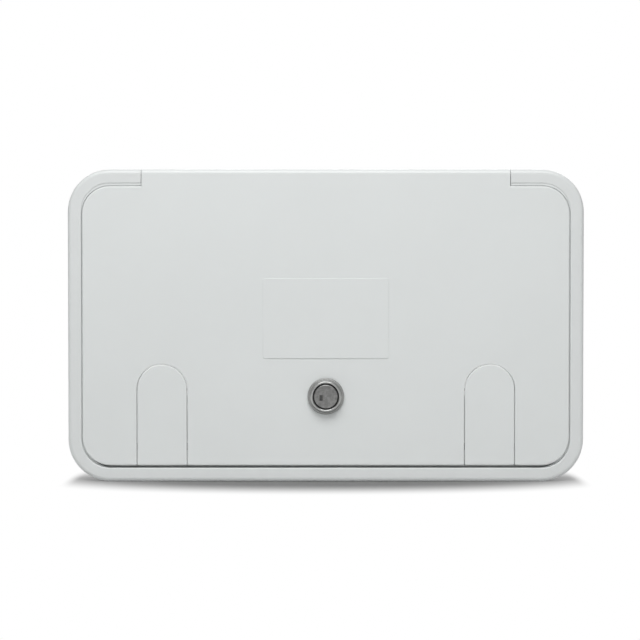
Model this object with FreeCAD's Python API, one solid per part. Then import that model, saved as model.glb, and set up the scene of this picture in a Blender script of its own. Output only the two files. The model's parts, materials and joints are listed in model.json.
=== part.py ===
import FreeCAD, Part
import math
import os

# Power cord hatch for a caravan wall, in mm.
# X runs to the right, Z up and the front faces -Y. The wall surface is the plane y = 0.
# The origin is the centre of the frame's rear face.

# Frame
frame_w = 390.0
frame_h = 236.0
frame_corner_r = 32.0
frame_proud = 9.0  # face of the strip above the wall
frame_edge_r = 3.5
strip_w = 10.5  # strip seen round the door
strip_top_extra = 0.3
strip_inner_r = 1.0
ledge_in = 2.2  # rebate that the door's edge laps over
ledge_taper = 0.1  # the rebate has run out this far inside the window's lower edge
ledge_gap = 0.3
wing_drop = 0.5  # step above the door's upper corners, below the strip's face
wing_gap = 0.45
wing_root = 1.0
wing_taper = 0.05
frame_wall = 2.5
web_t = 1.6
web_pitch = 42.0
neck_inset = 25.0  # from the frame's side to the neck's outside
neck_corner_r = 12.0
neck_depth = 32.0
neck_edge_r = 1.0
lip_h = 2.1
post_w = 55.6  # corner post beside the door's hinge edge
post_block = 2.0  # solid end of the post past the pin

# Wall screws
screw_hole_r = 2.1
screw_pad_r = 4.0
screw_pad_h = 1.0
screw_inset = 45.0

# Strike for the cam, on the neck's lower wall
strike_w = 32.0
strike_t = 2.5
strike_overlap = 5.0
strike_gap = 0.3
strike_corner_r = 2.0
gusset_t = 2.0
gusset_inset = 3.0
gusset_clear = 0.6

# Door
door_proud = 1.0  # face of the door above the strip
door_wall = 2.5
door_edge_r = 1.2
door_gap_side = 0.7
door_gap_bottom = 1.9
door_gap_top = 2.0
rim_t = 1.6
rim_gap = 0.6
rim_clear = 1.5
hinge_wall = 2.0
hinge_clear = 0.5
hinge_gap = 0.45
hinge_hook = 2.2
hinge_boss_l = 8.0
hinge_end_r = 0.5
hinge_pin_r = 1.25
hinge_pin_seat = 8.0
rib_t = 1.5
rib_clear = 4.5
rib_behind = 0.5  # the ribs end this far in front of the channel floor
rib_side_inset = 10.0
rib_spread = 80.0
rib_upper_z = 62.0
rib_middle_z = 4.0
pad_w = 95.0
pad_h = 60.4
pad_raise = 0.5
pad_corner_r = 1.5
pad_edge = 0.3
pad_above_lock = 58.6

# Cord outlets and their flaps
arch_w = 38.2
arch_h = 76.4
arch_inset = 60.1  # from the door's side to the outlet's centre
arch_rim_h = 2.5
flap_gap = 0.35
flap_edge_r = 0.8
stop_strip_w = 2.0
stop_strip_t = 1.5
stop_strip_room = 1.9
seal_room = 1.5
flap_axis_behind = 0.9  # the pin's centre behind the door's back
knuckle_skin = 0.8
boss_skin = 0.3
flap_pin_r = 1.0
flap_boss_l = 8.0
flap_boss_end = 1.0
flap_rib_h = 3.0
flap_rib_t = 1.6
flap_rib_spread = 7.5
flap_rib_up = 12.0
pin_relief = 0.6

# Flap springs
spring_wire_r = 0.3
spring_clear = 0.3
spring_room = 9.0
spring_leg = 9.0
spring_side = 0.75
spring_skin = 0.05  # the sleeve's wall past the wire on each side

# Door seal
seal_leg = 1.4
seal_grip = 1.4
seal_nose_r = 1.2
seal_groove = 1.0

# Ring in the gap round the plug's face
face_ring_depth = 1.5
face_ring_clear = 0.02

# Lock
lock_rise = 52.4  # the lock's centre above the door's bottom edge
lock_proud = 6.0
bezel_r = 13.7
bezel_t = 2.0
bezel_edge_r = 0.9
bezel_step_r = 12.4
collar_r = 11.5
collar_foot = 0.9
collar_edge_r = 0.7
body_r = 9.5
body_flat = 8.0
body_spare = 5.0  # thread behind the nut
boss_r = 17.0
boss_t = 2.5
gasket_t = 0.6
gasket_inset = 0.6
nut_across = 24.0
nut_t = 4.0
plug_face_r = 9.0
plug_face_gap = 0.9
plug_face_t = 3.3
plug_face_inset = 0.4
plug_face_edge_r = 0.7
plug_end_play = 0.3
plug_r = 6.0
keyway_w = 2.4
keyway_h = 4.3
keyway_x = -3.6
keyway_z = -1.0
keyway_spare = 0.7
shutter_depth = 2.0
shutter_t = 0.7
wafer_count = 4
wafer_t = 1.0
wafer_pitch = 2.2
wafer_first = 1.9
wafer_side = 0.4
wafer_w = 6.2
wafer_inset = 0.25
wafer_peek = 0.7
drive_w = 8.0
drive_short = 0.1
stop_t = 1.0
stop_r = 8.5
stop_ring_r = 7.0
stop_depth = 1.6
stop_lug_angle = 24.0
stop_free_angle = 2.0
cam_t = 2.0
cam_w = 16.0
cam_head_r = 8.5
cam_tip_w = 12.0
cam_tip_clear = 1.5
cam_turn_angle = 90.0
cam_washer_r = 7.0
cam_washer_t = 1.0
screw_r = 2.5
screw_back_off = 1.6
tap_spare = 0.5
screw_head_across = 8.0
screw_head_t = 3.5

# Clearances
run_clear = 0.05  # turning fits
seat_clear = 0.02  # fixed fits
loose_clear = 0.1

# Frame places
half_w = frame_w / 2
half_h = frame_h / 2
floor_y = -frame_wall
strip_y = -frame_proud
lip_y = floor_y - lip_h
window_x = half_w - strip_w
window_low = strip_w - half_h
window_top = half_h - strip_w - strip_top_extra
window_r = frame_corner_r - strip_w
neck_x = half_w - neck_inset
neck_z = half_h - neck_inset
bore_x = neck_x - frame_wall
bore_z = neck_z - frame_wall
bore_r = neck_corner_r - frame_wall
post_x = half_w - post_w

# Door places
front_y = strip_y - door_proud
back_y = front_y + door_wall
ledge_y = back_y + ledge_gap
wing_y = strip_y + wing_drop
rim_y = floor_y - rim_clear
rim_inset = ledge_in + rim_gap
rim_x = window_x - rim_inset
rim_low = window_low + rim_inset
rim_top = window_top - rim_inset
rib_y = floor_y + rib_behind
door_x = window_x - door_gap_side
door_low = window_low + door_gap_bottom
door_top = window_top - door_gap_top
door_r = window_r - door_gap_side
tab_x = post_x - hinge_gap
hinge_r = (floor_y - hinge_clear - front_y) / 2
hinge_y = front_y + hinge_r
hinge_z = half_h - hinge_r

# Screws stand midway between the seal and the door's rim
screw_x = half_w - screw_inset
screw_z = (neck_z + seal_leg + rim_top - rim_t) / 2
screw_side_x = (neck_x + seal_leg + rim_x - rim_t) / 2

# Cord outlet places
arch_r = arch_w / 2
arch_x = door_x - arch_inset
flap_z = door_low + arch_h - arch_r
flap_y = back_y + flap_axis_behind
flap_r = arch_r - flap_gap
knuckle_r = flap_y - front_y - knuckle_skin
flap_boss_r = flap_y - front_y - boss_skin
inner_stop_z = seal_leg + seal_room - bore_z
outer_stop_z = -neck_z - seal_leg - seal_room
spring_r = flap_pin_r + spring_clear + spring_wire_r

# Lock places
lock_z = door_low + lock_rise
lock_front_y = front_y - lock_proud
gasket_y = front_y - gasket_t
bezel_y = gasket_y - bezel_t
plug_front_y = lock_front_y + plug_face_inset
plug_back_y = plug_front_y + plug_face_t
shoulder_y = plug_back_y + plug_end_play
boss_y = back_y + boss_t
body_end_y = boss_y + nut_t + body_spare
cam_y = body_end_y + stop_t
cam_back_y = cam_y + cam_t
cam_l = lock_z + bore_z - cam_tip_clear
keyway_end_y = plug_back_y + wafer_first + (wafer_count - 1) * wafer_pitch + wafer_t / 2 + keyway_spare
screw_seat_y = cam_back_y + cam_washer_t
screw_tip_y = keyway_end_y + screw_back_off
strike_back_y = cam_y - strike_gap
strike_top = strike_overlap + cam_tip_clear - bore_z


def vec(x, y, z):
    return FreeCAD.Vector(x, y, z)


def box(x0, x1, y0, y1, z0, z1):
    return Part.makeBox(x1 - x0, y1 - y0, z1 - z0, vec(x0, y0, z0))


def along_y(edge):
    return edge.BoundBox.XLength < 1e-3 and edge.BoundBox.ZLength < 1e-3


def in_plane_y(edge, y):
    return abs(edge.BoundBox.YMin - y) < 1e-3 and abs(edge.BoundBox.YMax - y) < 1e-3


def slab(half_x, low, top, r, y0, y1):
    """Plate with round corners, even to both sides of x = 0."""
    plate = box(-half_x, half_x, y0, y1, low, top)
    return plate.makeFillet(r, [e for e in plate.Edges if along_y(e)])


def prism_x(points, x0, x1):
    """Straight-sided outline of (y, z) points, drawn out along X."""
    outline = Part.makePolygon([vec(x0, y, z) for y, z in points + points[:1]])
    return Part.Face(outline).extrude(vec(x1 - x0, 0, 0))


def prism_y(points, y0, y1):
    """Straight-sided outline of (x, z) points, drawn out along Y."""
    outline = Part.makePolygon([vec(x, y0, z) for x, z in points + points[:1]])
    return Part.Face(outline).extrude(vec(0, y1 - y0, 0))


def rod_x(r, x0, x1, y, z):
    return Part.makeCylinder(r, x1 - x0, vec(x0, y, z), vec(1, 0, 0))


def rod_y(r, y0, y1, x, z):
    return Part.makeCylinder(r, y1 - y0, vec(x, y0, z), vec(0, 1, 0))


def turned(points):
    """Turns an outline of (radius, y) points about the lock's axis."""
    outline = Part.makePolygon([vec(r, y, 0) for r, y in points + points[:1]])
    solid = Part.Face(outline).revolve(vec(0, 0, 0), vec(0, 1, 0), 360)
    return solid.translated(vec(0, 0, lock_z))


def ring_edges(shape, r, y):
    """Round edges of radius r at height y on the lock's axis."""
    return [e for e in shape.Edges if in_plane_y(e, y) and abs(e.BoundBox.XLength - 2 * r) < 0.01]


def sector(r0, r1, y0, y1, angle0, angle1):
    """Part of a ring round the lock's axis, angles from +X towards -Z."""
    outer = Part.makeCylinder(r1, y1 - y0, vec(0, 0, y0), vec(0, 0, 1), angle1 - angle0)
    piece = outer.cut(Part.makeCylinder(r0, y1 - y0, vec(0, 0, y0), vec(0, 0, 1)))
    piece.rotate(vec(0, 0, 0), vec(0, 0, 1), angle0)
    piece.rotate(vec(0, 0, 0), vec(1, 0, 0), -90)
    piece.translate(vec(0, 0, lock_z))
    return piece


def hexagon(across, y0, y1):
    corner = across / 2 / math.cos(math.pi / 6)
    turns = [math.pi / 3 * i for i in range(6)]
    return prism_y([(corner * math.sin(t), lock_z + corner * math.cos(t)) for t in turns], y0, y1)


def arch(x, r, low, y0, y1):
    """Upright plate with a half-round top, its round centre at the flap's pin height."""
    sides = [
        Part.LineSegment(vec(x - r, y0, flap_z), vec(x - r, y0, low)),
        Part.LineSegment(vec(x - r, y0, low), vec(x + r, y0, low)),
        Part.LineSegment(vec(x + r, y0, low), vec(x + r, y0, flap_z)),
    ]
    crown = Part.Arc(vec(x + r, y0, flap_z), vec(x, y0, flap_z + r), vec(x - r, y0, flap_z))
    outline = Part.Wire([s.toShape() for s in sides + [crown]])
    return Part.Face(outline).extrude(vec(0, y1 - y0, 0))


def mirrored(shape):
    return shape.mirror(vec(0, 0, 0), vec(1, 0, 0))


def screw_places():
    corners = [(x, z) for x in (-screw_x, screw_x) for z in (-screw_z, screw_z)]
    return corners + [(0, -screw_z), (0, screw_z), (-screw_side_x, 0), (screw_side_x, 0)]


def steps(limit, pitch):
    count = int(limit / pitch)
    return [i * pitch for i in range(-count, count + 1)]


def window(inset, y0, y1):
    """Plate with the outline of the frame's window, made smaller by an inset."""
    return slab(window_x - inset, window_low + inset, window_top - inset, window_r - inset, y0, y1)


def rebate(grow, y0, y1):
    """Ring inside the window that the door's edge laps over, with its walls grown by some amount.

    It runs out round the lower corners, so that water drains past the door's bottom edge.
    """
    low = window_low - ledge_taper - grow
    lower = slab(window_x - ledge_in + grow, low, 0, window_r + grow, y0, y1)
    return window(-grow, y0, y1).cut([window(ledge_in - grow, y0, y1), lower])


def wings():
    """Steps that close in on the door's upper corners and run out down its sides."""
    outer = slab(window_x, 0, window_top + wing_root, window_r, wing_y, ledge_y)
    return outer.cut(slab(window_x + wing_taper, -1, door_top + wing_gap, window_r, wing_y, ledge_y))


def strip_hollow():
    """Space behind the frame's strip, crossed by webs and closed near the hinge."""
    y0 = strip_y + frame_wall
    y1 = ledge_y + frame_wall
    wall = frame_wall
    outer = slab(half_w - wall, wall - half_h, half_h - wall, frame_corner_r - wall, y0, 1)
    step = rebate(wall, y1, 1)
    half = web_t / 2
    webs = [box(x - half, x + half, y0, 1, -half_h, half_h) for x in steps(window_x - window_r, web_pitch)]
    webs += [box(-half_w, half_w, y0, 1, z - half, z + half) for z in steps(window_top - window_r, web_pitch)]
    block_x = post_x + hinge_pin_seat + post_block
    webs.append(box(-block_x, block_x, y0, 1, 0, half_h))
    return outer.cut(window(-wall, y0, 1)).fuse(step).cut(webs)


def strike():
    """Upright plate that the cam turns behind, on two gussets."""
    foot = -bore_z - frame_wall / 2
    front = strike_back_y - strike_t
    plate = box(-strike_w / 2, strike_w / 2, front, strike_back_y, foot, strike_top)
    upper = [e for e in plate.Edges if along_y(e) and e.BoundBox.ZMax > strike_top - 0.01]
    plate = plate.makeFillet(strike_corner_r, upper)
    toe = lip_y + seal_grip + gusset_clear
    gussets = []
    for side in (-1, 1):
        x = side * (strike_w / 2 - gusset_inset) - gusset_t / 2
        outline = [(front, strike_top - 1), (toe, -bore_z), (toe, foot), (front, foot)]
        gussets.append(prism_x(outline, x, x + gusset_t))
    return plate.fuse(gussets)


def frame():
    body = slab(half_w, -half_h, half_h, frame_corner_r, strip_y, 0)
    body = body.makeFillet(frame_edge_r, [e for e in body.Edges if in_plane_y(e, strip_y)])
    body = body.cut(window(0, strip_y - 1, floor_y))
    rounded = []
    for e in body.Edges:
        span = e.BoundBox
        beside = max(span.XMax, -span.XMin) < window_x + 0.01
        between = span.ZMax < window_top + 0.01 and span.ZMin > window_low - 0.01
        if in_plane_y(e, strip_y) and beside and between:
            rounded.append(e)
    body = body.makeFillet(strip_inner_r, rounded)
    body = body.fuse([rebate(0, ledge_y, floor_y), wings()]).cut(strip_hollow())
    body = body.cut(box(-post_x, post_x, strip_y - 1, floor_y, 0, half_h + 1))
    neck = slab(neck_x, -neck_z, neck_z, neck_corner_r, lip_y, neck_depth)
    neck = neck.makeFillet(neck_edge_r, [e for e in neck.Edges if in_plane_y(e, neck_depth)])
    pads = [rod_y(screw_pad_r, floor_y - screw_pad_h, floor_y, x, z) for x, z in screw_places()]
    body = body.fuse([neck] + pads)
    body = body.cut(slab(bore_x, -bore_z, bore_z, bore_r, strip_y, neck_depth + 1))
    body = body.fuse(strike())
    holes = [rod_y(screw_hole_r, strip_y, 1, x, z) for x, z in screw_places()]
    for side in (-1, 1):
        end = post_x + hinge_pin_seat
        x0, x1 = sorted((side * post_x, side * end))
        holes.append(rod_x(hinge_pin_r + seat_clear, x0, x1, hinge_y, hinge_z))
    return body.cut(holes).removeSplitter()


def hinge_outline(points, arc_points):
    """Face in the plane x = 0 from straight points, closed over the top by the outer round."""
    lines = [Part.LineSegment(vec(0, *a), vec(0, *b)).toShape() for a, b in zip(points, points[1:])]
    return lines + [Part.Arc(*[vec(0, *p) for p in arc_points]).toShape()]


def hinge_roll():
    """Rolled upper edge of the door, hollow from behind, with solid ends for the pins."""
    inner_r = hinge_r - hinge_wall
    foot = rim_top - rim_t
    front = (front_y, hinge_z)
    rear = (hinge_y + hinge_r, hinge_z)
    crown = (hinge_y, hinge_z + hinge_r)
    inner_rear = (hinge_y + inner_r, hinge_z)
    inner_front = (hinge_y - inner_r, hinge_z)
    outer = hinge_outline([(front_y, foot), front], [front, crown, rear])
    hook = hinge_outline(
        [rear, (rear[0], hinge_z - hinge_hook), (inner_rear[0], hinge_z - hinge_hook), inner_rear],
        [inner_rear, (hinge_y, hinge_z + inner_r), inner_front],
    )
    inside = (inner_front, (back_y, hinge_z - 1), (back_y, foot), (front_y, foot))
    web = Part.makePolygon([vec(0, *p) for p in inside])
    section = Part.Face(Part.Wire(Part.__sortEdges__(outer + hook + web.Edges)))
    roll = section.extrude(vec(2 * tab_x, 0, 0)).translated(vec(-tab_x, 0, 0))

    bottom = hinge_z - hinge_r
    end = hinge_outline([rear, (rear[0], bottom), (front_y, bottom), front], [front, crown, rear])
    end = Part.Face(Part.Wire(Part.__sortEdges__(end))).extrude(vec(hinge_boss_l, 0, 0))
    cheek = box(0, rim_t, back_y, rim_y, foot, bottom + 1).translated(vec(hinge_boss_l - rim_t, 0, 0))
    end = end.fuse(cheek).translated(vec(tab_x - hinge_boss_l, 0, 0))
    roll = roll.fuse([end, mirrored(end)]).removeSplitter()
    rounded = []
    for e in roll.Edges:
        at_end = abs(abs(e.BoundBox.Center.x) - tab_x) < 0.01 and e.BoundBox.XLength < 0.01
        outside = e.BoundBox.YMax < front_y + 0.01 or e.BoundBox.ZMax > half_h - 0.01
        if at_end and outside:
            rounded.append(e)
    return roll.makeFillet(hinge_end_r, rounded)


def door_ribs():
    x_end = bore_x - rib_clear
    z_end = bore_z - rib_clear
    ribs = []
    for x in (-bore_x + rib_side_inset, -rib_spread, rib_spread, bore_x - rib_side_inset):
        ribs.append(box(x - rib_t / 2, x + rib_t / 2, back_y, rib_y, -z_end, z_end))
    for z in (rib_middle_z, rib_upper_z):
        ribs.append(box(-x_end, x_end, back_y, rib_y, z - rib_t / 2, z + rib_t / 2))
    ribs.append(box(-rib_t / 2, rib_t / 2, back_y, rib_y, lock_z + boss_r - 1, z_end))
    for side in (-1, 1):
        x0, x1 = sorted((side * (boss_r - 1), side * (arch_x - arch_r - rim_t / 2)))
        ribs.append(box(x0, x1, back_y, boss_y, lock_z - rib_t / 2, lock_z + rib_t / 2))
    return ribs


def arch_rims():
    """Raised rims round both cord outlets, broken where the seal passes."""
    rims = []
    for x in (-arch_x, arch_x):
        rims.append(arch(x, arch_r + rim_t, inner_stop_z, back_y, back_y + arch_rim_h))
        rims.append(box(x - arch_r - rim_t, x + arch_r + rim_t, back_y, rim_y, rim_low, outer_stop_z))
        reach = arch_r + flap_boss_l
        rims.append(rod_x(flap_boss_r, x - reach, x + reach, flap_y, flap_z))
        rims.append(box(x - reach, x + reach, back_y, flap_y, flap_z - flap_boss_r, flap_z + flap_boss_r))
    return rims


def stop_strips():
    """Strips behind the straight sides of both outlets, which the flaps close against."""
    strips = []
    for x in (-arch_x, arch_x):
        for side in (-1, 1):
            x0, x1 = sorted((x + side * (arch_r - stop_strip_w), x + side * (arch_r + rim_t / 2)))
            upper = flap_z - knuckle_r - stop_strip_room
            strips.append(box(x0, x1, back_y, back_y + stop_strip_t, inner_stop_z, upper))
            strips.append(box(x0, x1, back_y, back_y + stop_strip_t, door_low + door_edge_r, outer_stop_z))
    return strips


def lock_hole(y0, y1):
    hole = rod_y(body_r + loose_clear, y0, y1, 0, lock_z)
    flat = body_flat + loose_clear
    return hole.common(box(-flat, flat, y0, y1, lock_z - 2 * body_r, lock_z + 2 * body_r))


def label_pad():
    z = lock_z + pad_above_lock
    pad = slab(pad_w / 2, z - pad_h / 2, z + pad_h / 2, pad_corner_r, front_y - pad_raise, front_y + 1)
    return pad.makeFillet(pad_edge, [e for e in pad.Edges if in_plane_y(e, front_y - pad_raise)])


def door_panel():
    """Front panel with its edges rounded and both outlets cut."""
    panel = slab(door_x, door_low, door_top, door_r, front_y, back_y)
    panel = panel.makeFillet(door_edge_r, [e for e in panel.Edges if in_plane_y(e, front_y)])
    panel = panel.cut([arch(x, arch_r, door_low - 1, front_y - 1, back_y + 1) for x in (-arch_x, arch_x)])
    outlets = []
    for e in panel.Edges:
        near = abs(abs(e.BoundBox.Center.x) - arch_x) < arch_r + 0.01
        if in_plane_y(e, front_y) and near and e.BoundBox.ZMax > flap_z - 0.01:
            outlets.append(e)
    return panel.makeFillet(flap_edge_r, outlets)


def door():
    rim = window(rim_inset, back_y, rim_y).cut(window(rim_inset + rim_t, back_y, rim_y))
    boss = rod_y(boss_r, back_y, boss_y, 0, lock_z)
    behind = rim.fuse(arch_rims() + door_ribs() + [boss])
    behind = behind.cut([arch(x, arch_r, door_low - 1, front_y - 1, 1) for x in (-arch_x, arch_x)])
    body = door_panel().fuse([hinge_roll(), label_pad(), behind] + stop_strips())
    cuts = [lock_hole(front_y - 1, 1)]
    for side in (-1, 1):
        x0, x1 = sorted((side * (tab_x - hinge_boss_l - 1), side * (tab_x + 1)))
        cuts.append(rod_x(hinge_pin_r + run_clear, x0, x1, hinge_y, hinge_z))
        outer = side * (arch_x + arch_r + flap_boss_l - flap_boss_end)
        inner = side * (arch_x - arch_r - flap_boss_l)
        x0, x1 = sorted((outer, inner))
        cuts.append(rod_x(flap_pin_r + seat_clear, x0, x1, flap_y, flap_z))
        x = side * rib_spread
        half = flap_pin_r + pin_relief
        cuts.append(box(x - rib_t, x + rib_t, back_y, flap_y + half, flap_z - half, flap_z + half))
    return body.cut(cuts).removeSplitter()


def door_seal():
    """Rubber strip that grips the frame's lip and meets the door's back."""
    foot_y = lip_y + seal_grip
    outer_z = neck_z + seal_leg
    inner_z = bore_z - seal_leg
    ring = slab(neck_x + seal_leg, -outer_z, outer_z, neck_corner_r + seal_leg, back_y, foot_y)
    ring = ring.cut(slab(bore_x - seal_leg, -inner_z, inner_z, bore_r - seal_leg, back_y - 1, foot_y + 1))
    ring = ring.makeFillet(seal_nose_r, [e for e in ring.Edges if in_plane_y(e, back_y)])
    lip = slab(neck_x, -neck_z, neck_z, neck_corner_r, lip_y, 0)
    lip = lip.cut(slab(bore_x, -bore_z, bore_z, bore_r, lip_y, 0))
    half = (frame_wall - seal_groove) / 2
    groove_y = back_y + seal_groove
    groove = slab(neck_x - half, half - neck_z, neck_z - half, neck_corner_r - half, back_y - 1, groove_y)
    groove = groove.cut(slab(bore_x + half, -bore_z - half, bore_z + half, bore_r + half, back_y - 1, 0))
    return ring.cut([lip, groove])


def hinge_pin():
    """Pin of the door's right end."""
    x0 = tab_x - hinge_boss_l
    pin = rod_x(hinge_pin_r, x0, post_x + hinge_pin_seat, hinge_y, hinge_z)
    return pin.makeChamfer(hinge_pin_r / 5, [e for e in pin.Edges if e.BoundBox.XLength < 1e-3])


def cord_flap():
    """Flap of the right outlet. Its spring sits at the end towards the lock."""
    plate = arch(arch_x, flap_r, door_low, front_y, back_y)
    upper = [e for e in plate.Edges if in_plane_y(e, front_y) and e.BoundBox.ZMax > door_low + 1]
    plate = plate.makeFillet(flap_edge_r, upper)
    foot = [e for e in plate.Edges if in_plane_y(e, front_y) and e.BoundBox.ZMax < door_low + 0.01]
    plate = plate.makeFillet(door_edge_r, foot)
    inner_end = arch_x - flap_r + spring_room
    pocket = rod_x(spring_r + spring_wire_r + spring_clear, arch_x - arch_r, inner_end, flap_y, flap_z)
    plate = plate.cut(pocket)
    knuckle = rod_x(knuckle_r, inner_end, arch_x + flap_r, flap_y, flap_z)
    ribs = []
    for side in (-1, 1):
        x = arch_x + side * flap_rib_spread - flap_rib_t / 2
        rib_back = back_y + flap_rib_h
        ribs.append(box(x, x + flap_rib_t, back_y, rib_back, inner_stop_z, flap_z + flap_rib_up))
    lip_x = arch_r - stop_strip_w - flap_gap
    ribs.append(box(arch_x - lip_x, arch_x + lip_x, back_y, rim_y, door_low, door_low + rim_t))
    body = plate.fuse([knuckle] + ribs)
    hole = rod_x(flap_pin_r + run_clear, arch_x - arch_r, arch_x + arch_r, flap_y, flap_z)
    return body.cut(hole).removeSplitter()


def flap_pin():
    x0 = arch_x - arch_r - flap_boss_l
    return rod_x(flap_pin_r, x0, arch_x + arch_r + flap_boss_l - flap_boss_end, flap_y, flap_z)


def wire(start, end):
    """Straight spring wire with a round end."""
    run = end - start
    rod = Part.makeCylinder(spring_wire_r, run.Length, start, run)
    return rod.fuse(Part.makeSphere(spring_wire_r, end))


def flap_spring():
    """Torsion spring round the right flap's pin, its turns as one sleeve.

    One leg bears on the strip behind the outlet's side, one on the back of the flap's crown.
    """
    x0 = arch_x - arch_r + spring_side
    x1 = arch_x - flap_r + spring_room - spring_clear
    half_wall = spring_wire_r + spring_skin
    sleeve = rod_x(spring_r + half_wall, x0, x1, flap_y, flap_z)
    sleeve = sleeve.cut(rod_x(spring_r - half_wall, x0, x1, flap_y, flap_z))
    strip_back = back_y + stop_strip_t + spring_wire_r
    crown_back = back_y + spring_wire_r
    low_x = x0 + 2 * spring_wire_r
    high_x = x1 - 2 * spring_wire_r
    lower = wire(vec(low_x, flap_y + spring_r, flap_z), vec(low_x, strip_back, flap_z - spring_leg))
    upper = wire(vec(high_x, flap_y + spring_r, flap_z), vec(high_x, crown_back, flap_z + spring_leg))
    return sleeve.fuse([lower, upper])


def face_ring():
    """Rubber ring in the gap between the plug's face and the collar."""
    ring = Part.makeTorus(plug_face_r + plug_face_gap / 2, plug_face_gap / 2 - face_ring_clear)
    ring.rotate(vec(0, 0, 0), vec(1, 0, 0), 90)
    ring.translate(vec(0, lock_front_y + face_ring_depth, lock_z))
    return ring


def lock_housing():
    """Turned and flatted body with a stepped bezel and a stop recess at the back."""
    bore = plug_r + run_clear
    collar_bore = plug_face_r + plug_face_gap
    body = turned([
        (bore, body_end_y),
        (body_r, body_end_y),
        (body_r, gasket_y),
        (bezel_r, gasket_y),
        (bezel_r, bezel_y),
        (bezel_step_r, bezel_y),
        (collar_r, bezel_y - collar_foot),
        (collar_r, lock_front_y),
        (collar_bore, lock_front_y),
        (collar_bore, shoulder_y),
        (bore, shoulder_y),
    ])
    body = body.makeFillet(bezel_edge_r, ring_edges(body, bezel_r, bezel_y))
    nose = ring_edges(body, collar_r, lock_front_y) + ring_edges(body, collar_bore, lock_front_y)
    body = body.makeFillet(collar_edge_r, nose)
    for side in (-1, 1):
        x0, x1 = sorted((side * body_flat, side * 2 * body_r))
        body = body.cut(box(x0, x1, gasket_y, body_end_y + 1, lock_z - body_r, lock_z + body_r))
    spread = stop_lug_angle / 2 + stop_free_angle
    last = 180 + cam_turn_angle + spread
    depth = body_end_y - stop_depth
    return body.cut(sector(stop_ring_r, 2 * body_r, depth, body_end_y + 1, 180 - spread, last))


def lock_gasket():
    ring = rod_y(bezel_r - gasket_inset, gasket_y, front_y, 0, lock_z)
    return ring.cut(rod_y(body_r + loose_clear, gasket_y, front_y, 0, lock_z))


def lock_nut():
    corner = nut_across / 2 / math.cos(math.pi / 6)
    side = nut_across / 2
    slope = (corner - side) / 2
    top = boss_y + nut_t
    lower = [(0, boss_y), (side, boss_y), (corner, boss_y + slope)]
    upper = [(corner, top - slope), (side, top), (0, top)]
    nut = hexagon(nut_across, boss_y, top).common(turned(lower + upper))
    return nut.cut(rod_y(body_r + run_clear, boss_y - 1, top + 1, 0, lock_z))


def keyway(y0, y1, inset=0.0):
    half_x = keyway_w / 2 - inset
    half_z = keyway_h / 2 - inset
    z = lock_z + keyway_z
    return box(keyway_x - half_x, keyway_x + half_x, y0, y1, z - half_z, z + half_z)


def wafer_span(i, spare=0.0):
    middle = plug_back_y + wafer_first + i * wafer_pitch
    return middle - wafer_t / 2 - spare, middle + wafer_t / 2 + spare


def lock_plug():
    """Turning core with its face, keyway, wafer slots, square end and tapped hole."""
    plug = turned([
        (0, plug_front_y),
        (plug_face_r, plug_front_y),
        (plug_face_r, plug_back_y),
        (plug_r, plug_back_y),
        (plug_r, body_end_y),
        (0, body_end_y),
    ])
    plug = plug.makeFillet(plug_face_edge_r, ring_edges(plug, plug_face_r, plug_front_y))
    half = drive_w / 2
    plug = plug.fuse(box(-half, half, body_end_y - 1, cam_back_y - drive_short, lock_z - half, lock_z + half))
    cuts = [keyway(plug_front_y - 1, keyway_end_y)]
    x0 = keyway_x - keyway_w / 2 - wafer_side
    for i in range(wafer_count):
        y0, y1 = wafer_span(i, run_clear)
        cuts.append(box(x0 - loose_clear, x0 + wafer_w, y0, y1, lock_z - 2 * plug_r, lock_z + 2 * plug_r))
    cuts.append(rod_y(screw_r + seat_clear, screw_tip_y - tap_spare, cam_back_y, 0, lock_z))
    return plug.cut(cuts).removeSplitter()


def keyway_shutter():
    y0 = plug_front_y + shutter_depth
    return keyway(y0, y0 + shutter_t, run_clear)


def lock_wafers():
    """Flat tumblers drawn back into the plug, each with its key window."""
    x0 = keyway_x - keyway_w / 2 - wafer_side
    wafers = []
    for i in range(wafer_count):
        y0, y1 = wafer_span(i)
        plate = box(x0, x0 + wafer_w, y0, y1, lock_z - plug_r, lock_z + plug_r)
        plate = plate.common(rod_y(plug_r - wafer_inset, y0, y1, 0, lock_z))
        wafers.append(plate.cut(keyway(y0, y1, wafer_peek / 2)))
    return Part.makeCompound(wafers)


def square_hole(y0, y1):
    half = drive_w / 2 + run_clear
    return box(-half, half, y0 - 1, y1 + 1, lock_z - half, lock_z + half)


def stop_washer():
    """Washer on the plug's square, with a lug that runs in the housing's recess."""
    disc = rod_y(stop_r, body_end_y, cam_y, 0, lock_z)
    half = stop_lug_angle / 2
    depth = body_end_y - stop_depth + loose_clear
    lug = sector(stop_ring_r + loose_clear, stop_r, depth, cam_y, 180 - half, 180 + half)
    return disc.fuse(lug).cut(square_hole(body_end_y, cam_y)).removeSplitter()


def lock_cam():
    """Flat arm on the plug's square, drawn in the unlocked place, level to the right."""
    tip_r = cam_tip_w / 2
    tip_x = cam_l - tip_r
    head = rod_y(cam_head_r, cam_y, cam_back_y, 0, lock_z)
    outline = [(0, cam_w / 2), (tip_x, tip_r), (tip_x, -tip_r), (0, -cam_w / 2)]
    arm = prism_y([(x, lock_z + z) for x, z in outline], cam_y, cam_back_y)
    tip = rod_y(tip_r, cam_y, cam_back_y, tip_x, lock_z)
    return head.fuse([arm, tip]).cut(square_hole(cam_y, cam_back_y)).removeSplitter()


def cam_washer():
    ring = rod_y(cam_washer_r, cam_back_y, screw_seat_y, 0, lock_z)
    return ring.cut(rod_y(screw_r + loose_clear, cam_back_y, screw_seat_y, 0, lock_z))


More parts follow.
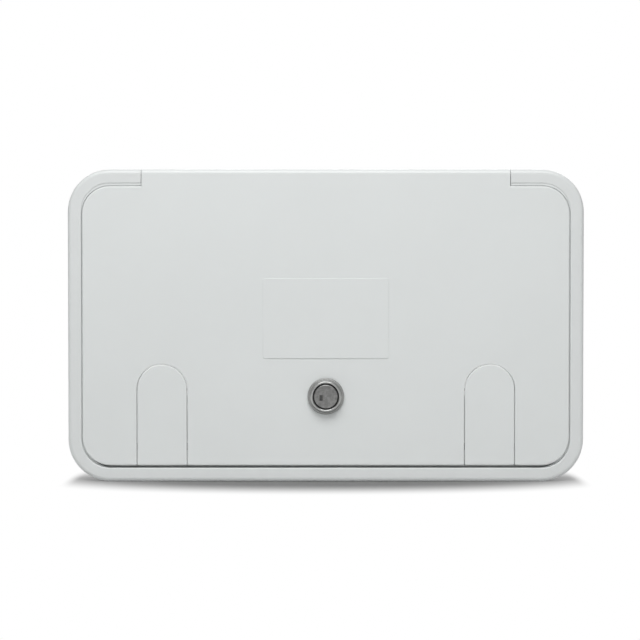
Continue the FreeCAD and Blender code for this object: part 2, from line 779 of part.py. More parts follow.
def cam_screw():
    corner = screw_head_across / 2 / math.cos(math.pi / 6)
    side = screw_head_across / 2
    top = screw_seat_y + screw_head_t
    slope_y = top - corner + side
    blank = turned([(0, screw_seat_y), (corner, screw_seat_y), (corner, slope_y), (side, top), (0, top)])
    head = hexagon(screw_head_across, screw_seat_y, top).common(blank)
    return head.fuse(rod_y(screw_r, screw_tip_y, screw_seat_y + 1, 0, lock_z)).removeSplitter()


def nodes():
    pin = hinge_pin()
    flap = cord_flap()
    small_pin = flap_pin()
    spring = flap_spring()
    return {
        "frame": frame(),
        "door": door(),
        "door_seal": door_seal(),
        "left_hinge_pin": mirrored(pin),
        "right_hinge_pin": pin,
        "left_cord_flap": mirrored(flap),
        "right_cord_flap": flap,
        "left_flap_pin": mirrored(small_pin),
        "right_flap_pin": small_pin,
        "left_flap_spring": mirrored(spring),
        "right_flap_spring": spring,
        "lock_housing": lock_housing(),
        "lock_gasket": lock_gasket(),
        "lock_face_ring": face_ring(),
        "lock_nut": lock_nut(),
        "lock_plug": lock_plug(),
        "keyway_shutter": keyway_shutter(),
        "lock_wafers": lock_wafers(),
        "stop_washer": stop_washer(),
        "lock_cam": lock_cam(),
        "cam_washer": cam_washer(),
        "cam_screw": cam_screw(),
    }


os.makedirs("parts", exist_ok=True)
for name, shape in nodes().items():
    shape.exportStep("parts/" + name + ".step")
    print(name, shape.isValid(), len(shape.Solids), round(shape.Volume, 1))
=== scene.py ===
import json
import math

import bpy
from mathutils import Matrix, Vector


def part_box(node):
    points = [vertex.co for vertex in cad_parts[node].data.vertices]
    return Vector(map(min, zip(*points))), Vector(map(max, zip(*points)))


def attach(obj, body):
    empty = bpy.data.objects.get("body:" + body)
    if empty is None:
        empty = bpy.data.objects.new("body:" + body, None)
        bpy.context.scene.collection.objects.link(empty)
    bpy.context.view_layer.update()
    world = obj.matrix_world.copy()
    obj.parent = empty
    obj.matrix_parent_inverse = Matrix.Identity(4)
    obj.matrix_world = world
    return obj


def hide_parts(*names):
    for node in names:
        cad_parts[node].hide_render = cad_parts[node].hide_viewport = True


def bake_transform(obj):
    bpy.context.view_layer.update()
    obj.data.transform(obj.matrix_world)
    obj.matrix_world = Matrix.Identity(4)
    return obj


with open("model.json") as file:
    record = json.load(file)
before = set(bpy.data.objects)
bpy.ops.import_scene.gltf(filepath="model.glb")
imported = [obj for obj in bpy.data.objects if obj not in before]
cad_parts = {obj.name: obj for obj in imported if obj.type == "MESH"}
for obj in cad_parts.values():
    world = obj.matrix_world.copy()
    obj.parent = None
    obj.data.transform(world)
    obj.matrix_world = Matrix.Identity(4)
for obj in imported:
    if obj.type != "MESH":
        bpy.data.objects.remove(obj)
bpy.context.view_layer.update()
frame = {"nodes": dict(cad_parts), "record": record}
nodes = frame["nodes"]

MM = 0.001

# Photograph, and how far behind its front the frame's outline is seen
PHOTO_PX = 640
HATCH_CENTRE_PX = (325.8, 325.55)
FOCAL_PX = 1453.0
MM_PER_PX = 0.757
CAMERA_ELEVATION = math.radians(1.25)
SENSOR_MM = 36.0
OUTLINE_DEPTH = 3.5 * MM

# Stage and lamps; a lamp has its place, its size and its power
FLOOR_REACH = 4.0
# The floor's colours seen near the hatch are painted shadow, darker grey in front than behind; the bounce
# colour is what lights the hatch from it
PAINTED_SHADOW_FRONT = (0.23, 0.23, 0.23)
PAINTED_SHADOW_FRONT_Y = -5 * MM
PAINTED_SHADOW_BEHIND = (0.36, 0.36, 0.36)
PAINTED_SHADOW_BEHIND_Y = 10 * MM
FLOOR_BOUNCE = (0.65, 0.65, 0.65)
WORLD_STRENGTH = 0.315
LAMPS = {
    "key": ((-0.07, -0.8, 1.02), (1.2, 0.7), 14.0),
    "fill": ((0.1, -1.9, 0.3), (1.6, 1.2), 0.4),
    "back": ((0.3, 1.5, 0.9), (1.4, 1.0), 9.0),
}

# Oval of the floor's shadow, part the hatch's real shadow and part painted shadow, paler towards its ends:
# depths are given at its ends and in its middle
SHADOW_HALF_X = 202 * MM
SHADOW_FRONT = (0.0, 57 * MM)
SHADOW_BEHIND = (25 * MM, 65 * MM)
SHADOW_BLUR = 31 * MM
SHADOW_END_LOSS = 0.36
SHADOW_END_FROM = 0.93
SHADOW_END_TO = 0.988

# Shading of the CAD pieces
CREASE_ANGLE = math.radians(28)
JOIN_DISTANCE = 0.001 * MM

# Flap springs
WIRE_R = 0.3 * MM
COIL_R = 1.6 * MM
SPRING_TURNS = 11.0
LOW_LEG_BACK = 0.9 * MM
HIGH_LEG_BACK = -0.6 * MM

# Ejector marks on the door's back: heights for each distance from its middle, in millimetres
DOOR_BACK_Y = -7.5 * MM
MARK_R = 3 * MM
MARK_RIDGE = 0.28 * MM
MARK_HEIGHTS = {40: (82, 33, -26, -84), 120: (82, 33, -12), 167: (82, -20, -88)}

# Lock; the lead of its thread is the tilt of the ridges in radians
RIM_START = 11.6 * MM
RIM_R = 12.2 * MM
# Painted shade: stainless steel is darkened within these radii of the lock's axis
PAINTED_SHADE_R = 12 * MM
UNSHADED_R = 16 * MM
THREAD_R = 9.5 * MM
THREAD_PITCH = 1.0 * MM
THREAD_RIDGE = 0.26 * MM
THREAD_TURNS = 3
THREAD_LEAD = 0.017
BODY_FLAT = 8 * MM
THREAD_HALF_ARC = math.asin(BODY_FLAT / THREAD_R)

# Places read from the frame
frame_low, frame_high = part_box("frame")
housing_low, housing_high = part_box("lock_housing")
hatch_centre = (frame_low + frame_high) / 2
outline_y = frame_low.y + OUTLINE_DEPTH
floor_z = frame_low.z
lock_axis = Vector(((housing_low.x + housing_high.x) / 2, 0, (housing_low.z + housing_high.z) / 2))
nut_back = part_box("lock_nut")[1].y


# Material building

def new_material(name):
    material = bpy.data.materials.new(name)
    material.use_nodes = True
    tree = material.node_tree
    return material, tree, tree.nodes["Principled BSDF"]


def add(tree, kind, **inputs):
    """Adds a node; names with a trailing underscore set a property, others set an input."""
    node = tree.nodes.new(kind)
    for key, value in inputs.items():
        if key.endswith("_"):
            setattr(node, key[:-1], value)
        else:
            node.inputs[key.replace("_", " ")].default_value = value
    return node


def object_coordinates(tree, scale=(1, 1, 1)):
    coordinates = tree.nodes.new("ShaderNodeTexCoord")
    mapping = add(tree, "ShaderNodeMapping", Scale=scale)
    tree.links.new(coordinates.outputs["Object"], mapping.inputs["Vector"])
    return mapping.outputs["Vector"]


def noise(tree, vector, scale, detail=3.0, roughness=0.5):
    node = add(tree, "ShaderNodeTexNoise", Scale=scale, Detail=detail, Roughness=roughness)
    tree.links.new(vector, node.inputs["Vector"])
    return node.outputs["Fac"]


def ramp(tree, factor, low, high, start=0.35, end=0.65):
    """Colour ramp between two colours over part of a 0 to 1 factor."""
    node = tree.nodes.new("ShaderNodeValToRGB")
    node.color_ramp.elements[0].position = start
    node.color_ramp.elements[0].color = (*low, 1)
    node.color_ramp.elements[1].position = end
    node.color_ramp.elements[1].color = (*high, 1)
    tree.links.new(factor, node.inputs["Fac"])
    return node.outputs["Color"]


def mapped(tree, value, start, end, low, high, interpolation="LINEAR"):
    """Value taken from start..end to low..high and held beyond both."""
    ends = {"From_Min": start, "From_Max": end, "To_Min": low, "To_Max": high}
    node = add(tree, "ShaderNodeMapRange", interpolation_type_=interpolation, **ends)
    tree.links.new(value, node.inputs["Value"])
    return node.outputs["Result"]


def varied(tree, factor, middle, spread):
    """Value that a 0 to 1 factor takes from under the middle to over it."""
    return mapped(tree, factor, 0.0, 1.0, middle - spread, middle + spread)


def bump(tree, height, strength, distance, under=None):
    node = add(tree, "ShaderNodeBump", Strength=strength, Distance=distance)
    tree.links.new(height, node.inputs["Height"])
    if under is not None:
        tree.links.new(under, node.inputs["Normal"])
    return node.outputs["Normal"]


def shaded(colour, amount):
    return tuple(c * amount for c in colour)


def moulded_plastic(name, colour, roughness):
    """Satin white moulding: faint cloudiness, a fine grain and soft flow unevenness."""
    material, tree, shader = new_material(name)
    place = object_coordinates(tree)
    clouds = noise(tree, place, scale=14.0, detail=4.0)
    tree.links.new(ramp(tree, clouds, shaded(colour, 0.985), colour), shader.inputs["Base Color"])
    grain = noise(tree, place, scale=1500.0, detail=2.0)
    tree.links.new(varied(tree, grain, roughness, spread=0.05), shader.inputs["Roughness"])
    waves = noise(tree, place, scale=25.0, detail=2.0)
    flow = bump(tree, waves, strength=0.12, distance=0.4 * MM)
    fine = bump(tree, grain, strength=0.10, distance=0.05 * MM, under=flow)
    tree.links.new(fine, shader.inputs["Normal"])
    shader.inputs["IOR"].default_value = 1.5
    return material


def rubber(name, colour):
    """Matt rubber with a little dust and a fine grain."""
    material, tree, shader = new_material(name)
    place = object_coordinates(tree)
    dust = noise(tree, place, scale=160.0, detail=5.0)
    tree.links.new(ramp(tree, dust, colour, shaded(colour, 1.9)), shader.inputs["Base Color"])
    grain = noise(tree, place, scale=2600.0, detail=2.0)
    tree.links.new(varied(tree, grain, middle=0.65, spread=0.1), shader.inputs["Roughness"])
    tree.links.new(bump(tree, grain, strength=0.25, distance=0.05 * MM), shader.inputs["Normal"])
    return material


def distance_from_lock(tree):
    """Distance of a place from the lock's axis."""
    coordinates = tree.nodes.new("ShaderNodeTexCoord")
    offset = add(tree, "ShaderNodeVectorMath", operation_="SUBTRACT")
    offset.inputs[1].default_value = lock_axis
    flat = add(tree, "ShaderNodeVectorMath", operation_="MULTIPLY")
    flat.inputs[1].default_value = (1, 0, 1)
    length = add(tree, "ShaderNodeVectorMath", operation_="LENGTH")
    tree.links.new(coordinates.outputs["Object"], offset.inputs[0])
    tree.links.new(offset.outputs["Vector"], flat.inputs[0])
    tree.links.new(flat.outputs["Vector"], length.inputs[0])
    return length.outputs["Value"]


def worked(tree, operation, first, second=0.0):
    """Result of a math node; each operand is a socket or a number."""
    node = add(tree, "ShaderNodeMath", operation_=operation)
    for place, operand in enumerate((first, second)):
        if isinstance(operand, (int, float)):
            node.inputs[place].default_value = operand
        else:
            tree.links.new(operand, node.inputs[place])
    return node.outputs["Value"]


def scaled_colour(tree, colour, amount):
    node = add(tree, "ShaderNodeVectorMath", operation_="SCALE")
    tree.links.new(colour, node.inputs[0])
    tree.links.new(amount, node.inputs["Scale"])
    return node.outputs["Vector"]


def turned_metal(name, colour, roughness, rim_roughness, rim_shade, mottling):
    """Satin metal with the fine rings of turning round the lock's axis, duller on its rim."""
    material, tree, shader = new_material(name)
    radius = distance_from_lock(tree)
    joined = tree.nodes.new("ShaderNodeCombineXYZ")
    tree.links.new(radius, joined.inputs["X"])
    rings = noise(tree, joined.outputs["Vector"], scale=5200.0, detail=2.0)
    clouds = noise(tree, object_coordinates(tree), scale=420.0, detail=5.0, roughness=0.6)
    mottled = ramp(tree, clouds, shaded(colour, 1 - mottling), colour, start=0.38, end=0.62)
    shade = mapped(tree, radius, RIM_START, RIM_R, 1.0, rim_shade)
    tree.links.new(scaled_colour(tree, mottled, shade), shader.inputs["Base Color"])
    dull = mapped(tree, radius, RIM_START, RIM_R, roughness, rim_roughness)
    uneven = worked(tree, "ADD", dull, varied(tree, rings, middle=0.0, spread=0.06))
    tree.links.new(uneven, shader.inputs["Roughness"])
    tree.links.new(bump(tree, rings, strength=0.22, distance=0.04 * MM), shader.inputs["Normal"])
    shader.inputs["Metallic"].default_value = 1.0
    return material


def drawn_metal(name, colour, roughness, stretch, painted_shade_in_lock=1.0):
    """Metal with fine lines, as drawn wire, pins and rolled sheet have, with painted shade that darkens it
    near the lock's axis by the given factor.
    """
    material, tree, shader = new_material(name)
    lines = noise(tree, object_coordinates(tree, stretch), scale=2400.0, detail=3.0)
    clouds = noise(tree, object_coordinates(tree), scale=220.0, detail=4.0)
    unshaded_colour = ramp(tree, clouds, shaded(colour, 0.82), colour)
    # Painted shade: the colour is darker close to the lock's axis
    painted_shade = mapped(tree, distance_from_lock(tree), PAINTED_SHADE_R, UNSHADED_R, painted_shade_in_lock, 1.0)
    tree.links.new(scaled_colour(tree, unshaded_colour, painted_shade), shader.inputs["Base Color"])
    tree.links.new(varied(tree, lines, roughness, spread=0.08), shader.inputs["Roughness"])
    tree.links.new(bump(tree, lines, strength=0.2, distance=0.03 * MM), shader.inputs["Normal"])
    shader.inputs["Metallic"].default_value = 1.0
    return material


materials = {
    "frame_plastic": moulded_plastic("frame_plastic", (0.72, 0.742, 0.738), roughness=0.36),
    "door_plastic": moulded_plastic("door_plastic", (0.74, 0.765, 0.76), roughness=0.38),
    "seal_rubber": rubber("seal_rubber", (0.018, 0.018, 0.019)),
    # Painted shade darkens this steel inside the lock
    "stainless_steel": drawn_metal(
        "stainless_steel", (0.56, 0.56, 0.55), roughness=0.3, stretch=(0.05, 1, 1), painted_shade_in_lock=0.2
    ),
    "spring_steel": drawn_metal("spring_steel", (0.5, 0.5, 0.5), roughness=0.32, stretch=(1, 1, 1)),
    "lock_zinc": turned_metal(
        "lock_zinc", (0.50, 0.505, 0.495), roughness=0.3, rim_roughness=0.52, rim_shade=0.78, mottling=0.10
    ),
    "plug_metal": turned_metal(
        "plug_metal", (0.31, 0.31, 0.305), roughness=0.34, rim_roughness=0.34, rim_shade=1.0, mottling=0.30
    ),
    "plated_steel": drawn_metal("plated_steel", (0.6, 0.61, 0.63), roughness=0.34, stretch=(1, 1, 0.06)),
    "wafer_brass": drawn_metal("wafer_brass", (0.70, 0.52, 0.24), roughness=0.35, stretch=(1, 1, 0.1)),
}


# Geometry node trees

def node_group(name):
    """Empty geometry tree with a geometry input and output."""
    tree = bpy.data.node_groups.new(name, "GeometryNodeTree")
    tree.interface.new_socket("Geometry", in_out="INPUT", socket_type="NodeSocketGeometry")
    tree.interface.new_socket("Geometry", in_out="OUTPUT", socket_type="NodeSocketGeometry")
    tree.is_modifier = True
    return tree, tree.nodes.new("NodeGroupInput"), tree.nodes.new("NodeGroupOutput")


def value_input(tree, name, value=None, kind="NodeSocketFloat"):
    """Named input of a tree; one without a value gets it where the tree is used."""
    socket = tree.interface.new_socket(name, in_out="INPUT", socket_type=kind)
    if value is not None:
        socket.default_value = value


def smooth_tree():
    """Joins the loose triangles and shades smooth up to a crease angle."""
    tree, source, result = node_group("smooth_faces")
    value_input(tree, "Crease Angle", CREASE_ANGLE)
    value_input(tree, "Join Distance", JOIN_DISTANCE)
    joined = tree.nodes.new("GeometryNodeMergeByDistance")
    angle = tree.nodes.new("GeometryNodeInputMeshEdgeAngle")
    soft = add(tree, "FunctionNodeCompare", operation_="LESS_EQUAL")
    smooth_edges = add(tree, "GeometryNodeSetShadeSmooth", domain_="EDGE")
    smooth_faces = add(tree, "GeometryNodeSetShadeSmooth", domain_="FACE")
    link = tree.links.new
    link(source.outputs["Geometry"], joined.inputs["Geometry"])
    link(source.outputs["Join Distance"], joined.inputs["Distance"])
    link(angle.outputs["Unsigned Angle"], soft.inputs[0])
    link(source.outputs["Crease Angle"], soft.inputs[1])
    link(joined.outputs["Geometry"], smooth_edges.inputs["Geometry"])
    link(soft.outputs["Result"], smooth_edges.inputs["Shade Smooth"])
    link(smooth_edges.outputs["Geometry"], smooth_faces.inputs["Geometry"])
    link(smooth_faces.outputs["Geometry"], result.inputs["Geometry"])
    return tree


def dress_nodes():
    """Gives every CAD node its material and smooth rounds."""
    slots = {s["node"]: s["material_slot"] for s in frame["record"]["subparts"]}
    smooth = smooth_tree()
    for name, node in nodes.items():
        node.data.materials.clear()
        node.data.materials.append(materials[slots[name]])
        node.modifiers.new("smooth_faces", "NODES").node_group = smooth
        level = node.modifiers.new("level_faces", "WEIGHTED_NORMAL")
        level.keep_sharp = True
        level.weight = 100


def wire_tree():
    """Torsion spring: close turns round a pin with a straight leg at each end."""
    tree, source, result = node_group("torsion_spring")
    for name in ("Turns", "Coil Radius", "Wire Radius", "Length", "Side"):
        value_input(tree, name)
    for name in ("Start", "Turning", "Low Leg", "High Leg"):
        value_input(tree, name, kind="NodeSocketVector")
    value_input(tree, "Metal", kind="NodeSocketMaterial")
    link = tree.links.new
    spiral = add(tree, "GeometryNodeCurveSpiral", Resolution=40)
    link(source.outputs["Turns"], spiral.inputs["Rotations"])
    link(source.outputs["Coil Radius"], spiral.inputs["Start Radius"])
    link(source.outputs["Coil Radius"], spiral.inputs["End Radius"])
    link(source.outputs["Length"], spiral.inputs["Height"])
    turned = tree.nodes.new("GeometryNodeTransform")
    link(spiral.outputs["Curve"], turned.inputs["Geometry"])
    link(source.outputs["Turning"], turned.inputs["Rotation"])
    scale = add(tree, "ShaderNodeCombineXYZ", Y=1.0, Z=1.0)
    link(source.outputs["Side"], scale.inputs["X"])
    placed = tree.nodes.new("GeometryNodeTransform")
    link(turned.outputs["Geometry"], placed.inputs["Geometry"])
    link(scale.outputs["Vector"], placed.inputs["Scale"])
    link(source.outputs["Start"], placed.inputs["Translation"])
    along = worked(tree, "MULTIPLY", source.outputs["Length"], source.outputs["Side"])
    low_foot = tree.nodes.new("ShaderNodeCombineXYZ")
    link(source.outputs["Coil Radius"], low_foot.inputs["Y"])
    high_foot = tree.nodes.new("ShaderNodeCombineXYZ")
    link(along, high_foot.inputs["X"])
    link(source.outputs["Coil Radius"], high_foot.inputs["Y"])
    wires = tree.nodes.new("GeometryNodeJoinGeometry")
    ends = tree.nodes.new("GeometryNodeJoinGeometry")
    for foot, leg in ((low_foot, "Low Leg"), (high_foot, "High Leg")):
        root = add(tree, "ShaderNodeVectorMath", operation_="ADD")
        link(source.outputs["Start"], root.inputs[0])
        link(foot.outputs["Vector"], root.inputs[1])
        line = tree.nodes.new("GeometryNodeCurvePrimitiveLine")
        link(root.outputs["Vector"], line.inputs["Start"])
        link(source.outputs[leg], line.inputs["End"])
        link(line.outputs["Curve"], wires.inputs["Geometry"])
        ball = add(tree, "GeometryNodeMeshUVSphere", Segments=12, Rings=8)
        link(source.outputs["Wire Radius"], ball.inputs["Radius"])
        tip = tree.nodes.new("GeometryNodeTransform")
        link(ball.outputs["Mesh"], tip.inputs["Geometry"])
        link(source.outputs[leg], tip.inputs["Translation"])
        link(tip.outputs["Geometry"], ends.inputs["Geometry"])
    link(placed.outputs["Geometry"], wires.inputs["Geometry"])
    round_wire = add(tree, "GeometryNodeCurvePrimitiveCircle", Resolution=12)
    link(source.outputs["Wire Radius"], round_wire.inputs["Radius"])
    swept = add(tree, "GeometryNodeCurveToMesh", Fill_Caps=True)
    link(wires.outputs["Geometry"], swept.inputs["Curve"])
    link(round_wire.outputs["Curve"], swept.inputs["Profile Curve"])
    link(swept.outputs["Mesh"], ends.inputs["Geometry"])
    finish_tree(tree, source, result, ends.outputs["Geometry"], "Metal")
    return tree


def ejector_tree():
    """Raised ring, as an ejector pin leaves it, at every point of the input mesh."""
    tree, source, result = node_group("ejector_marks")
    value_input(tree, "Mark Radius", MARK_R)
    value_input(tree, "Ridge Radius", MARK_RIDGE)
    value_input(tree, "Turning", kind="NodeSocketVector")
    value_input(tree, "Plastic", kind="NodeSocketMaterial")
    link = tree.links.new
    edge = add(tree, "GeometryNodeCurvePrimitiveCircle", Resolution=40)
    ridge = add(tree, "GeometryNodeCurvePrimitiveCircle", Resolution=8)
    ring = tree.nodes.new("GeometryNodeCurveToMesh")
    link(source.outputs["Mark Radius"], edge.inputs["Radius"])
    link(source.outputs["Ridge Radius"], ridge.inputs["Radius"])
    link(edge.outputs["Curve"], ring.inputs["Curve"])
    link(ridge.outputs["Curve"], ring.inputs["Profile Curve"])
    upright = tree.nodes.new("GeometryNodeTransform")
    link(ring.outputs["Mesh"], upright.inputs["Geometry"])
    link(source.outputs["Turning"], upright.inputs["Rotation"])
    points = tree.nodes.new("GeometryNodeMeshToPoints")
    marks = tree.nodes.new("GeometryNodeInstanceOnPoints")
    link(source.outputs["Geometry"], points.inputs["Mesh"])
    link(points.outputs["Points"], marks.inputs["Points"])
    link(upright.outputs["Geometry"], marks.inputs["Instance"])
    finish_tree(tree, source, result, marks.outputs["Instances"], "Plastic")
    return tree


def thread_tree():
    """Thread ridges on the two round sides of a flatted body, a pair at every input point."""
    tree, source, result = node_group("body_thread")
    value_input(tree, "Radius", THREAD_R)
    value_input(tree, "Ridge", THREAD_RIDGE)
    value_input(tree, "Half Arc", THREAD_HALF_ARC)
    value_input(tree, "Lead", THREAD_LEAD)
    value_input(tree, "Metal", kind="NodeSocketMaterial")
    link = tree.links.new
    pair = tree.nodes.new("GeometryNodeJoinGeometry")
    for top, sense in ((math.pi / 2, 1.0), (math.pi * 1.5, -1.0)):
        arc = add(tree, "GeometryNodeCurveArc", Resolution=40)
        link(source.outputs["Radius"], arc.inputs["Radius"])
        link(worked(tree, "SUBTRACT", top, source.outputs["Half Arc"]), arc.inputs["Start Angle"])
        link(worked(tree, "MULTIPLY", 2.0, source.outputs["Half Arc"]), arc.inputs["Sweep Angle"])
        crest = add(tree, "GeometryNodeCurvePrimitiveCircle", Resolution=6)
        link(source.outputs["Ridge"], crest.inputs["Radius"])
        ridge = add(tree, "GeometryNodeCurveToMesh", Fill_Caps=True)
        link(arc.outputs["Curve"], ridge.inputs["Curve"])
        link(crest.outputs["Curve"], ridge.inputs["Profile Curve"])
        turning = add(tree, "ShaderNodeCombineXYZ", X=math.pi / 2)
        link(worked(tree, "MULTIPLY", sense, source.outputs["Lead"]), turning.inputs["Z"])
        upright = tree.nodes.new("GeometryNodeTransform")
        link(ridge.outputs["Mesh"], upright.inputs["Geometry"])
        link(turning.outputs["Vector"], upright.inputs["Rotation"])
        link(upright.outputs["Geometry"], pair.inputs["Geometry"])
    points = tree.nodes.new("GeometryNodeMeshToPoints")
    turns = tree.nodes.new("GeometryNodeInstanceOnPoints")
    link(source.outputs["Geometry"], points.inputs["Mesh"])
    link(points.outputs["Points"], turns.inputs["Points"])
    link(pair.outputs["Geometry"], turns.inputs["Instance"])
    finish_tree(tree, source, result, turns.outputs["Instances"], "Metal")
    return tree


def finish_tree(tree, source, result, geometry, finish):
    """Real, smooth faces of one material at the tree's end; finish names the material's input."""
    smooth = tree.nodes.new("GeometryNodeSetShadeSmooth")
    real = tree.nodes.new("GeometryNodeRealizeInstances")
    painted = tree.nodes.new("GeometryNodeSetMaterial")
    tree.links.new(geometry, smooth.inputs["Geometry"])
    tree.links.new(smooth.outputs["Geometry"], real.inputs["Geometry"])
    tree.links.new(real.outputs["Geometry"], painted.inputs["Geometry"])
    tree.links.new(source.outputs[finish], painted.inputs["Material"])
    tree.links.new(painted.outputs["Geometry"], result.inputs["Geometry"])


def made_by(tree, name, spots=None, **inputs):
    """Plain mesh object of what a tree makes with these inputs; spots is a mesh whose points it is put on."""
    carrier = bpy.data.objects.new(name + "_carrier", spots or bpy.data.meshes.new(name + "_start"))
    bpy.context.scene.collection.objects.link(carrier)
    modifier = carrier.modifiers.new("tree", "NODES")
    modifier.node_group = tree
    sockets = [item for item in tree.interface.items_tree if item.item_type == "SOCKET"]
    identifiers = {socket.name: socket.identifier for socket in sockets if socket.in_out == "INPUT"}
    for key, value in inputs.items():
        modifier[identifiers[key.replace("_", " ")]] = value
    bpy.context.view_layer.update()
    evaluated = carrier.evaluated_get(bpy.context.evaluated_depsgraph_get())
    mesh = bpy.data.meshes.new_from_object(evaluated)
    bpy.data.objects.remove(carrier)
    mesh.name = name
    piece = bpy.data.objects.new(name, mesh)
    bpy.context.scene.collection.objects.link(piece)
    return piece


def flap_springs():
    """Wound springs in place of the plain sleeves."""
    tree = wire_tree()
    turning = Matrix(((0, 0, 1), (1, 0, 0), (0, 1, 0))).to_euler()
    for side, sign in (("left", -1), ("right", 1)):
        low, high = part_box(side + "_flap_spring")
        pin_low, pin_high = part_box(side + "_flap_pin")
        axis = (pin_low + pin_high) / 2
        near, far = (low.x, high.x) if sign > 0 else (high.x, low.x)
        start = Vector((near + sign * 2 * WIRE_R, axis.y, axis.z))
        end = Vector((far - sign * 2 * WIRE_R, axis.y, axis.z))
        spring = made_by(
            tree,
            side + "_flap_coil",
            Turns=SPRING_TURNS,
            Coil_Radius=COIL_R,
            Wire_Radius=WIRE_R,
            Length=abs(end.x - start.x),
            Side=float(sign),
            Start=start,
            Turning=turning,
            Low_Leg=Vector((start.x, axis.y + LOW_LEG_BACK, low.z + WIRE_R)),
            High_Leg=Vector((end.x, axis.y + HIGH_LEG_BACK, high.z - WIRE_R)),
            Metal=materials["spring_steel"],
        )
        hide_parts(side + "_flap_spring")
        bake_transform(spring)


def door_marks():
    """Ejector pin marks between the ribs on the back of the door's panel."""
    spots = bpy.data.meshes.new("door_mark_points")
    places = [(side * x, z) for side in (-1, 1) for x, heights in MARK_HEIGHTS.items() for z in heights]
    spots.from_pydata([(x * MM, DOOR_BACK_Y, z * MM) for x, z in places], [], [])
    turning = Matrix.Rotation(math.pi / 2, 3, "X").to_euler()
    plastic = materials["door_plastic"]
    marks = made_by(ejector_tree(), "door_ejector_marks", spots, Turning=turning, Plastic=plastic)
    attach(marks, "door")


def body_thread():
    """Thread that shows on the lock's body behind its nut."""
    spots = bpy.data.meshes.new("thread_points")
    first = nut_back + THREAD_PITCH / 2
    turns = [(lock_axis.x, first + k * THREAD_PITCH, lock_axis.z) for k in range(THREAD_TURNS)]
    spots.from_pydata(turns, [], [])
    thread = made_by(thread_tree(), "lock_body_thread", spots, Metal=materials["lock_zinc"])
    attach(thread, "door")


# Stage, lights and camera

def past_edge(tree, depth, width, reach):
    """Distance past the shadow's edge on one side; reach is how deep it is at its ends and in the middle."""
    at_ends, in_middle = reach
    more = worked(tree, "MULTIPLY", width, in_middle - at_ends)
    return worked(tree, "SUBTRACT", depth, worked(tree, "ADD", more, at_ends))


def outside_shadow(tree):
    """Distance past the edge of the shadow's oval, and the shadow's strength at that place along X."""
    place = tree.nodes.new("ShaderNodeTexCoord")
    axes = tree.nodes.new("ShaderNodeSeparateXYZ")
    tree.links.new(place.outputs["Object"], axes.inputs["Vector"])
    across = worked(tree, "ABSOLUTE", worked(tree, "DIVIDE", axes.outputs["X"], SHADOW_HALF_X))
    rest = worked(tree, "SUBTRACT", 1.0, worked(tree, "MULTIPLY", across, across))
    width = worked(tree, "SQRT", worked(tree, "MAXIMUM", rest, 0.0))
    in_front = past_edge(tree, worked(tree, "MULTIPLY", axes.outputs["Y"], -1.0), width, SHADOW_FRONT)
    behind = past_edge(tree, axes.outputs["Y"], width, SHADOW_BEHIND)
    paler = worked(tree, "MULTIPLY", worked(tree, "POWER", across, 4.0), SHADOW_END_LOSS)
    end = mapped(tree, across, SHADOW_END_FROM, SHADOW_END_TO, 1.0, 0.0, "SMOOTHSTEP")
    strength = worked(tree, "MULTIPLY", worked(tree, "SUBTRACT", 1.0, paler), end)
    return worked(tree, "MAXIMUM", in_front, behind), strength


def seen_rays(tree):
    """1 for rays that show the floor, 0 for those that light the hatch from it."""
    path = tree.nodes.new("ShaderNodeLightPath")
    shown = worked(tree, "MAXIMUM", path.outputs["Is Camera Ray"], path.outputs["Is Glossy Ray"])
    return worked(tree, "MAXIMUM", shown, path.outputs["Is Transmission Ray"])


def mixed(tree, factor, first, second):
    """Shader that goes from the first to the second as the factor goes from 0 to 1."""
    node = tree.nodes.new("ShaderNodeMixShader")
    tree.links.new(factor, node.inputs["Fac"])
    tree.links.new(first, node.inputs[1])
    tree.links.new(second, node.inputs[2])
    return node.outputs["Shader"]


def painted_floor_shadow(tree):
    """Painted shadow on the floor: grey in front of the hatch and paler behind it, where its own shadow
    falls.
    """
    place = tree.nodes.new("ShaderNodeTexCoord")
    axes = tree.nodes.new("ShaderNodeSeparateXYZ")
    tree.links.new(place.outputs["Object"], axes.inputs["Vector"])
    behind = mapped(tree, axes.outputs["Y"], PAINTED_SHADOW_FRONT_Y, PAINTED_SHADOW_BEHIND_Y, 0.0, 1.0)
    return ramp(tree, behind, PAINTED_SHADOW_FRONT, PAINTED_SHADOW_BEHIND, start=0.0, end=1.0)


def stage_material():
    """White floor with a painted grey shadow near the hatch, lit and shaded by the lamps; plain white further
    off and clear from below.
    """
    material, tree, shader = new_material("stage_white_painted_shadow")
    # The base colour seen near the hatch is painted shadow
    tree.links.new(painted_floor_shadow(tree), shader.inputs["Base Color"])
    shader.inputs["Roughness"].default_value = 0.9
    shader.inputs["Specular IOR Level"].default_value = 0.0
    bounce = add(tree, "ShaderNodeBsdfDiffuse", Color=(*FLOOR_BOUNCE, 1))
    plain = add(tree, "ShaderNodeEmission", Strength=1.0)
    # Inside the oval the painted shadow shows; outside it the floor is plain white
    distance, strength = outside_shadow(tree)
    fade = mapped(tree, distance, -SHADOW_BLUR, SHADOW_BLUR, 1.0, 0.0, "SMOOTHSTEP")
    past = worked(tree, "SUBTRACT", 1.0, worked(tree, "MULTIPLY", fade, strength))
    seen = seen_rays(tree)
    surface = mixed(tree, seen, bounce.outputs["BSDF"], shader.outputs["BSDF"])
    from_above = mixed(tree, worked(tree, "MULTIPLY", past, seen), surface, plain.outputs["Emission"])
    face = tree.nodes.new("ShaderNodeNewGeometry")
    clear = tree.nodes.new("ShaderNodeBsdfTransparent")
    one_sided = mixed(tree, face.outputs["Backfacing"], from_above, clear.outputs["BSDF"])
    tree.links.new(one_sided, tree.nodes["Material Output"].inputs["Surface"])
    return material


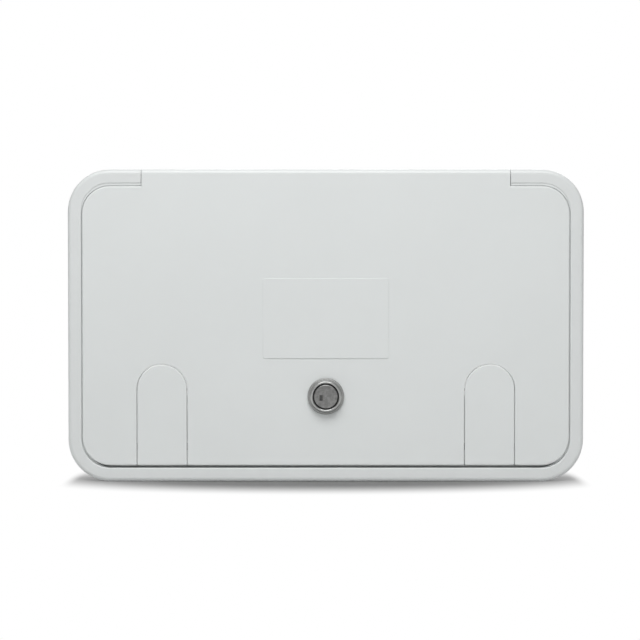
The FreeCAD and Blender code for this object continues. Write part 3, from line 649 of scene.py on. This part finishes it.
def make_floor():
    mesh = bpy.data.meshes.new("floor")
    square = ((-1, -1), (1, -1), (1, 1), (-1, 1))
    mesh.from_pydata([(x * FLOOR_REACH, y * FLOOR_REACH, 0) for x, y in square], [], [(0, 1, 2, 3)])
    floor = bpy.data.objects.new("floor", mesh)
    floor.location = (0, 0, floor_z)
    mesh.materials.append(stage_material())
    bpy.context.scene.collection.objects.link(floor)


def make_world():
    """Plain white light from all round, seen as pure white."""
    world = bpy.data.worlds.new("studio")
    bpy.context.scene.world = world
    world.use_nodes = True
    tree = world.node_tree
    light = tree.nodes["Background"]
    light.inputs["Color"].default_value = (1, 1, 1, 1)
    light.inputs["Strength"].default_value = WORLD_STRENGTH
    seen = add(tree, "ShaderNodeBackground", Strength=1.0, Color=(1, 1, 1, 1))
    path = tree.nodes.new("ShaderNodeLightPath")
    shown = worked(tree, "MAXIMUM", path.outputs["Is Camera Ray"], path.outputs["Is Transmission Ray"])
    surface = mixed(tree, shown, light.outputs["Background"], seen.outputs["Background"])
    tree.links.new(surface, tree.nodes["World Output"].inputs["Surface"])


def area_lamp(name, place, aim, size, power):
    data = bpy.data.lights.new(name, "AREA")
    data.shape = "RECTANGLE"
    data.size, data.size_y = size
    data.energy = power
    lamp = bpy.data.objects.new(name, data)
    lamp.location = place
    lamp.rotation_euler = (Vector(aim) - Vector(place)).to_track_quat("-Z", "Y").to_euler()
    bpy.context.scene.collection.objects.link(lamp)


def make_lights():
    for name, (place, size, power) in LAMPS.items():
        area_lamp(name, place, hatch_centre, size, power)


def make_camera():
    """Camera at the photograph's distance, height and aim."""
    data = bpy.data.cameras.new("camera")
    data.sensor_width = SENSOR_MM
    data.lens = FOCAL_PX / PHOTO_PX * SENSOR_MM
    camera = bpy.data.objects.new("camera", data)
    distance = FOCAL_PX * MM_PER_PX * MM
    aside = (HATCH_CENTRE_PX[0] - PHOTO_PX / 2) * MM_PER_PX * MM
    drop = math.atan((HATCH_CENTRE_PX[1] - PHOTO_PX / 2) / FOCAL_PX)
    height = distance * math.tan(CAMERA_ELEVATION)
    camera.location = (hatch_centre.x - aside, outline_y - distance, hatch_centre.z + height)
    camera.rotation_euler = (math.pi / 2 - CAMERA_ELEVATION + drop, 0, 0)
    bpy.context.scene.collection.objects.link(camera)
    bpy.context.scene.camera = camera


dress_nodes()
flap_springs()
door_marks()
body_thread()
make_floor()
make_world()
make_lights()
make_camera()
bpy.context.scene.view_settings.view_transform = "Standard"
